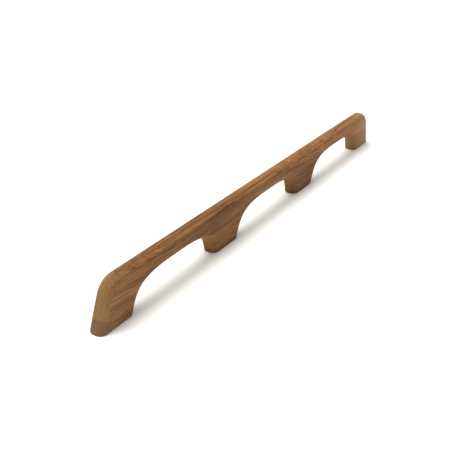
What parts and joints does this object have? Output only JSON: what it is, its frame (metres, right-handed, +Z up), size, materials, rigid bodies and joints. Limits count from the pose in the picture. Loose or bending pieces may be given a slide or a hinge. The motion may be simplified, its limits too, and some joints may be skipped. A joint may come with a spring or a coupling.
{
  "type": "grab rail",
  "caption": "Long solid-wood handrail with feet shaped into one board, arched hand openings between them, sloped ends and rounded edges, fixed from below.",
  "frame": {"origin": "centre of the base plane that the feet stand on", "axes": "+X along the rail, +Y across the board, +Z up from the deck"},
  "size_m": [0.838, 0.024, 0.068],
  "materials": {
    "teak": "bare sanded teak, matt, with fine dark pore lines along the board",
    "brass": "turned brass, slightly dulled"
  },
  "bodies": {
    "root": {"teak_rail": "teak", "threaded_insert_1": "brass", "threaded_insert_2": "brass", "threaded_insert_3": "brass", "threaded_insert_4": "brass"}
  },
  "joints": []
}
